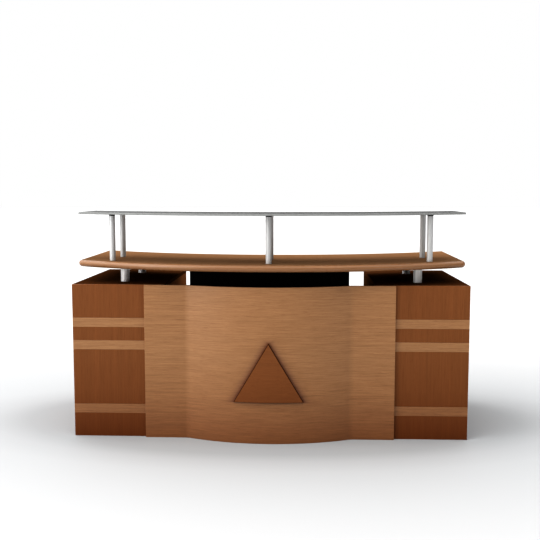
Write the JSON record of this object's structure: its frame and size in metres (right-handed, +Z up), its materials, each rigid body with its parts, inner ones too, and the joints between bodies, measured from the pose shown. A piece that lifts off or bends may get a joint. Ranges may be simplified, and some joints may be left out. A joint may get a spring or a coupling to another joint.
{
  "type": "checkout counter",
  "caption": "Bow-fronted checkout counter: two banded pedestals, a crescent wooden top on short posts and a raised glass shelf; staff side with drawers and a cupboard.",
  "frame": {"origin": "middle of the counter's box on the floor", "axes": "+X along the counter's width to the right as a customer faces it, +Y from the customers' side to the staff side, +Z up"},
  "size_m": [2, 0.9974, 1.144],
  "materials": {
    "dark_veneer": "satin lacquered veneer, fine upright grain",
    "light_veneer": "satin lacquered veneer, fine level grain",
    "top_veneer": "polished veneer with a bull-nosed front",
    "black_laminate": "matt black laminate on board",
    "drawer_lining": "pale melamine-faced board",
    "satin_steel": "satin",
    "zinc_steel": "zinc plated",
    "black_rubber": "matt",
    "glass": "tinted, polished edges"
  },
  "bodies": {
    "counter": {"left_front_board": "dark_veneer", "left_outer_side": "dark_veneer", "left_inner_side": "dark_veneer", "left_top_board": "dark_veneer", "left_bottom_board": "dark_veneer", "left_band_lower": "light_veneer", "left_band_middle": "light_veneer", "left_band_upper": "light_veneer", "right_front_board": "dark_veneer", "right_outer_side": "dark_veneer", "right_inner_side": "dark_veneer", "right_top_board": "dark_veneer", "right_bottom_board": "dark_veneer", "right_band_lower": "light_veneer", "right_band_middle": "light_veneer", "right_band_upper": "light_veneer", "top_runner_outer": "zinc_steel", "top_runner_inner": "zinc_steel", "middle_runner_outer": "zinc_steel", "middle_runner_inner": "zinc_steel", "bottom_runner_outer": "zinc_steel", "bottom_runner_inner": "zinc_steel", "door_pivot_upper": "zinc_steel", "door_pivot_lower": "zinc_steel", "cupboard_shelf": "dark_veneer", "front_panel": "light_veneer", "triangle_plaque": "dark_veneer", "centre_board": "black_laminate", "centre_side_left": "black_laminate", "centre_side_right": "black_laminate", "centre_shelf": "black_laminate", "short_post_left_front": "satin_steel", "short_post_left_rear": "satin_steel", "short_post_right_front": "satin_steel", "short_post_right_rear": "satin_steel", "counter_top": "top_veneer", "glass_post_left_front": "satin_steel", "post_pad_left_front": "black_rubber", "glass_post_left_rear": "satin_steel", "post_pad_left_rear": "black_rubber", "glass_post_centre_front": "satin_steel", "post_pad_centre_front": "black_rubber", "glass_post_centre_rear": "satin_steel", "post_pad_centre_rear": "black_rubber", "glass_post_right_front": "satin_steel", "post_pad_right_front": "black_rubber", "glass_post_right_rear": "satin_steel", "post_pad_right_rear": "black_rubber", "glass_shelf": "glass"},
    "top_drawer": {"top_drawer_front": "dark_veneer", "top_drawer_box": "drawer_lining", "top_drawer_handle": "satin_steel"},
    "middle_drawer": {"middle_drawer_front": "dark_veneer", "middle_drawer_box": "drawer_lining", "middle_drawer_handle": "satin_steel"},
    "bottom_drawer": {"bottom_drawer_front": "dark_veneer", "bottom_drawer_box": "drawer_lining", "bottom_drawer_handle": "satin_steel"},
    "door": {"cupboard_door": "dark_veneer", "door_handle": "satin_steel"}
  },
  "joints": [
    {"name": "top_drawer_slide", "type": "slide", "parent": "counter", "child": "top_drawer", "axis": [0, 1, 0], "range_m": [0, 0.45]},
    {"name": "middle_drawer_slide", "type": "slide", "parent": "counter", "child": "middle_drawer", "axis": [0, 1, 0], "range_m": [0, 0.45]},
    {"name": "bottom_drawer_slide", "type": "slide", "parent": "counter", "child": "bottom_drawer", "axis": [0, 1, 0], "range_m": [0, 0.45]},
    {"name": "door_hinge", "type": "hinge", "parent": "counter", "child": "door", "pos_m": [0.971, 0.45635, 0.4], "axis": [0, 0, -1], "range_deg": [0, 95]}
  ]
}
